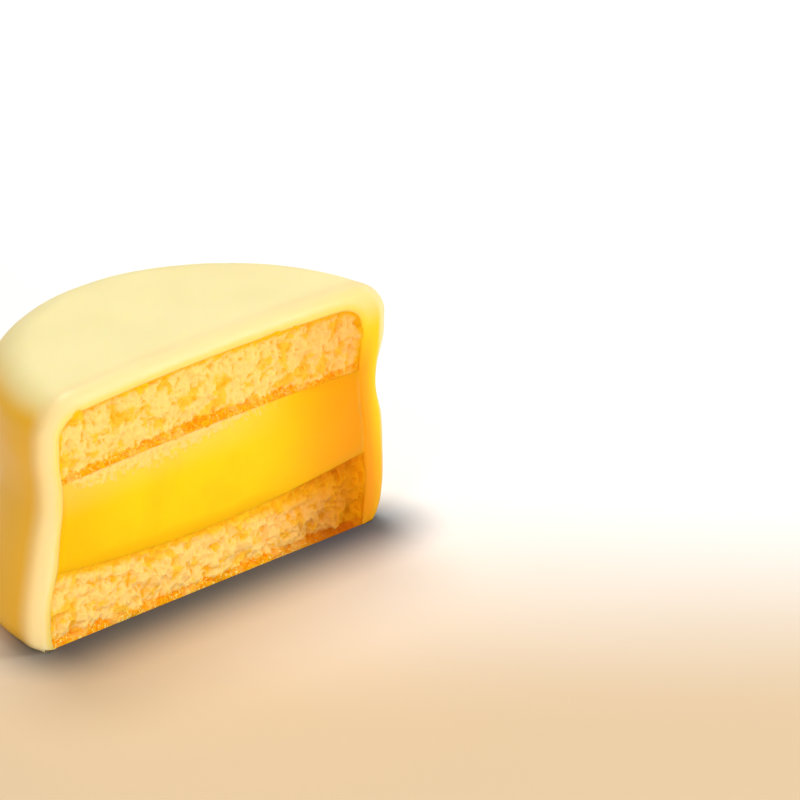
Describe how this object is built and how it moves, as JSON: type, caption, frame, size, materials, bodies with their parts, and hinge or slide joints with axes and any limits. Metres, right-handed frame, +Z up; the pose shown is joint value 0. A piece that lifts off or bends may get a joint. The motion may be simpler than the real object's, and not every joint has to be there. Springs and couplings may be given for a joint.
{
  "type": "alfajor half",
  "caption": "Half of a coated alfajor, cut upright to show biscuit above and below a thick smooth filling.",
  "frame": {"origin": "middle of the box's underside, on the surface that the half stands on", "axes": "+X along the cut face, +Y from the cut face in to the round back, +Z up"},
  "size_m": [0.0572, 0.0288, 0.0314],
  "materials": {
    "coating": "satin",
    "biscuit": "matte crumb",
    "filling": "smooth, slightly glossy"
  },
  "bodies": {
    "root": {"coating": "coating", "top_biscuit": "biscuit", "filling": "filling", "bottom_biscuit": "biscuit"}
  },
  "joints": []
}
